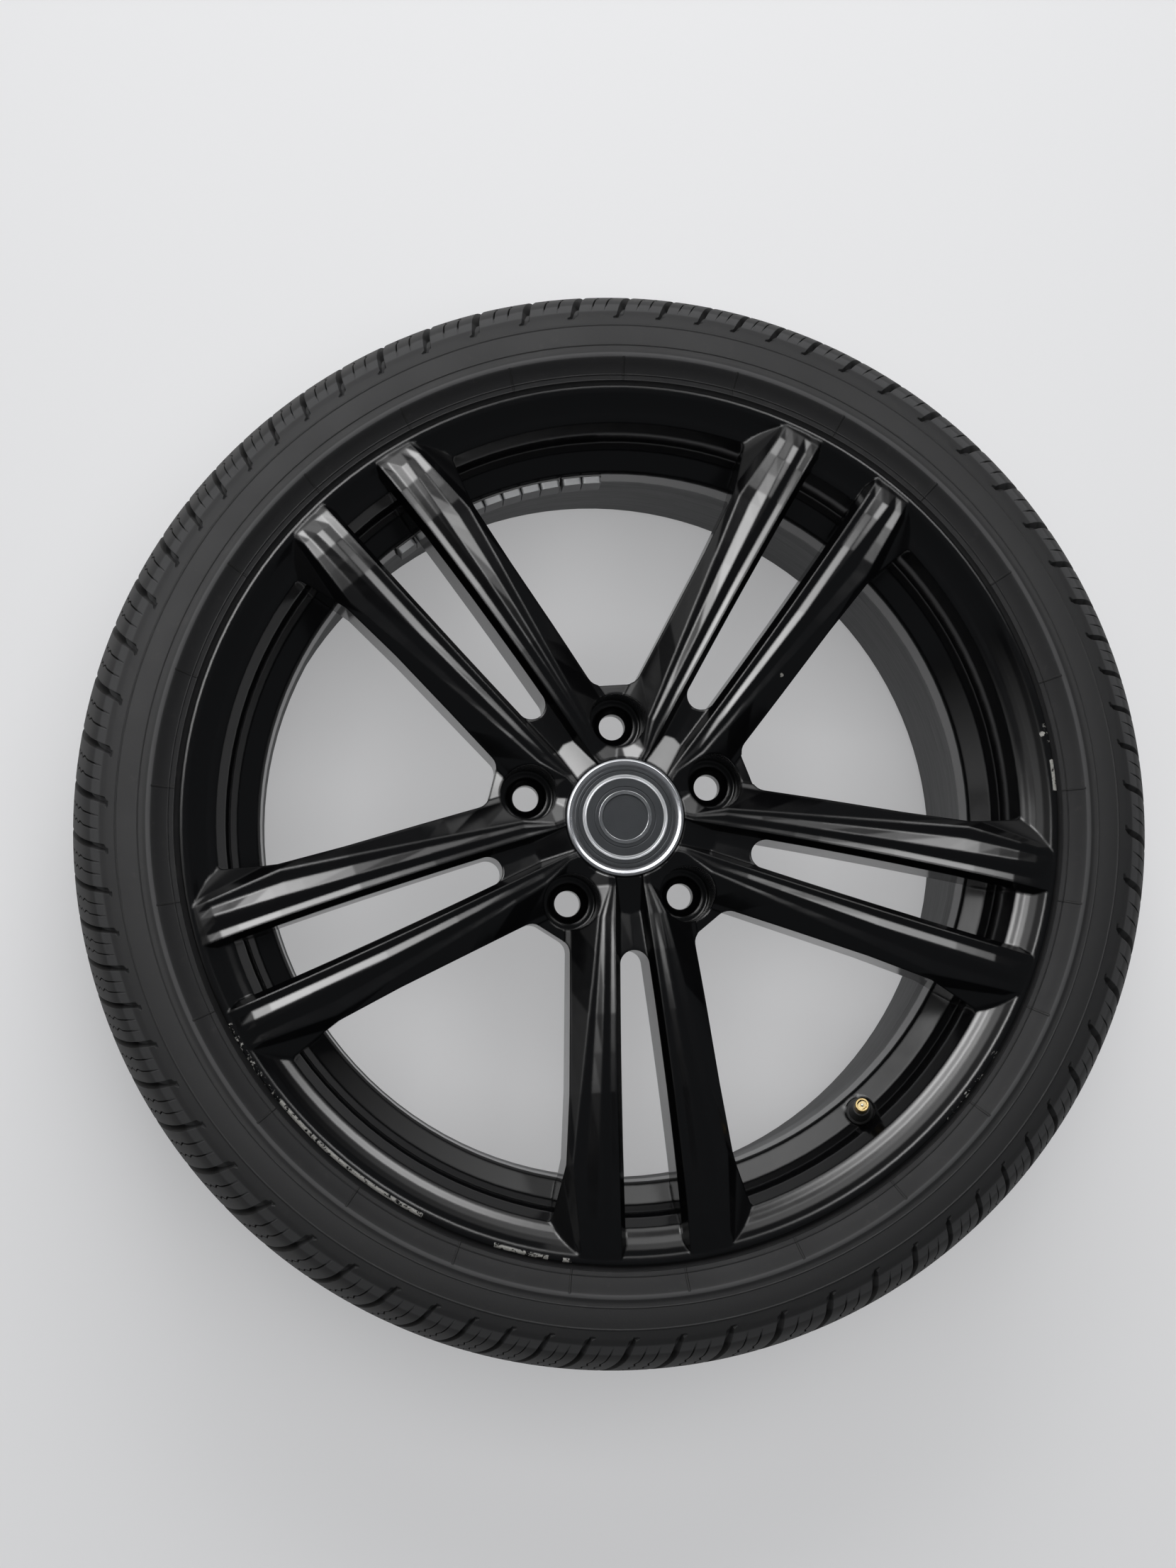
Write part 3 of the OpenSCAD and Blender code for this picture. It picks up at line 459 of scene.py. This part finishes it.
# Stage
def soft_card(name, heading, spread, low, high, away, glow):
    """Part of a sphere round the wheel that glows softly, fading to nothing at its edges. Angles in degrees."""
    rows, cols = 12, 32
    verts, faces = [], []
    for i in range(rows + 1):
        for j in range(cols + 1):
            turn = math.radians(heading - spread + 2 * spread * j / cols)
            lift = math.radians(low + (high - low) * i / rows)
            reach = away * math.cos(lift)
            verts.append((reach * math.cos(turn), reach * math.sin(turn), away * math.sin(lift)))
    for i in range(rows):
        for j in range(cols):
            a = i * (cols + 1) + j
            faces.append((a, a + cols + 1, a + cols + 2, a + 1))
    mesh = bpy.data.meshes.new(name)
    mesh.from_pydata(verts, [], faces)
    fade = mesh.attributes.new("fade", "FLOAT", "POINT")
    level = [math.sin(math.pi * i / rows) ** 1.5 * math.sin(math.pi * j / cols) ** 1.2
             for i in range(rows + 1) for j in range(cols + 1)]
    fade.data.foreach_set("value", level)
    card = bpy.data.objects.new(name, mesh)
    bpy.context.scene.collection.objects.link(card)
    g = Graph(name)
    glowing = g.node("ShaderNodeEmission")
    shade = g.node("ShaderNodeAttribute", attribute_name="fade").outputs["Fac"]
    g.put(glowing.inputs["Strength"], g.math("MULTIPLY", shade, glow))
    g.tree.links.new(glowing.outputs[0], g.tree.nodes["Material Output"].inputs["Surface"])
    mesh.materials.append(g.material)
    card.visible_camera = False
    card.visible_diffuse = False
    card.visible_shadow = False


def make_stage(low):
    """A plain pale floor, the camera of the photograph and soft studio light."""
    scene = bpy.context.scene
    bpy.ops.mesh.primitive_plane_add(size=8, location=(0, 0, low))
    floor = bpy.context.object
    floor.name = "floor"
    g = Graph("floor")
    pale = g.node("ShaderNodeEmission")
    pale.inputs["Color"].default_value = (0.80, 0.80, 0.81, 1.0)
    seen = g.node("ShaderNodeLightPath").outputs
    rays = g.math("ADD", seen["Is Camera Ray"], g.math("MULTIPLY", seen["Is Glossy Ray"], 0.5))
    share = g.math("MULTIPLY", rays, FLOOR_GLOW_SHARE)
    both = g.node("ShaderNodeMixShader")
    g.put(both.inputs[0], share)
    g.tree.links.new(g.shader.outputs[0], both.inputs[1])
    g.tree.links.new(pale.outputs[0], both.inputs[2])
    g.tree.links.new(both.outputs[0], g.tree.nodes["Material Output"].inputs["Surface"])
    floor.data.materials.append(g.set(color=(0.78, 0.78, 0.79), rough=0.95, specular=0.1))

    camera = bpy.data.objects.new("camera", bpy.data.cameras.new("camera"))
    scene.collection.objects.link(camera)
    back = (CAMERA_AT - CAMERA_AIM).normalized()
    right = CAMERA_UP.cross(back).normalized()
    up = back.cross(right)
    camera.matrix_world = Matrix.Translation(CAMERA_AT) @ Matrix((right, up, back)).transposed().to_4x4()
    camera.data.lens = CAMERA_LENS
    camera.data.sensor_width = CAMERA_SENSOR
    camera.data.clip_start = 0.01
    scene.camera = camera

    world = bpy.data.worlds.new("studio")
    world.use_nodes = True
    background = world.node_tree.nodes["Background"]
    background.inputs["Color"].default_value = (0.9, 0.95, 1.0, 1.0)
    background.inputs["Strength"].default_value = WORLD_LEVEL
    scene.world = world
    scene.view_settings.view_transform = "Standard"

    # Large lamps light the floor and the rubber softly, and gloss doesn't mirror them
    for name, at, size, power in LAMPS:
        lamp = bpy.data.objects.new(name, bpy.data.lights.new(name, "AREA"))
        scene.collection.objects.link(lamp)
        lamp.data.size = size
        lamp.data.energy = power
        lamp.location = at
        lamp.rotation_euler = (-Vector(at)).to_track_quat("-Z", "Y").to_euler()
        lamp.visible_glossy = False

    # Soft glowing cards on the photograph's upper side, which gloss does mirror
    for card in CARDS:
        soft_card(*card)


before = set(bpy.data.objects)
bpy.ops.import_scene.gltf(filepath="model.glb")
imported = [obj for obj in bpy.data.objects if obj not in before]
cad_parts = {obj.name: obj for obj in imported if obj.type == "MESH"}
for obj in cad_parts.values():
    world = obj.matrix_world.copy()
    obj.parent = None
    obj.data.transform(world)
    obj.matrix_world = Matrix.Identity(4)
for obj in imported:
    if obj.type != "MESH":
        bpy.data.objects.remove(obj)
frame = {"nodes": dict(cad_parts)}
cad_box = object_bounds()
dress(frame)
make_tyre()
make_stage(cad_box[0][2])
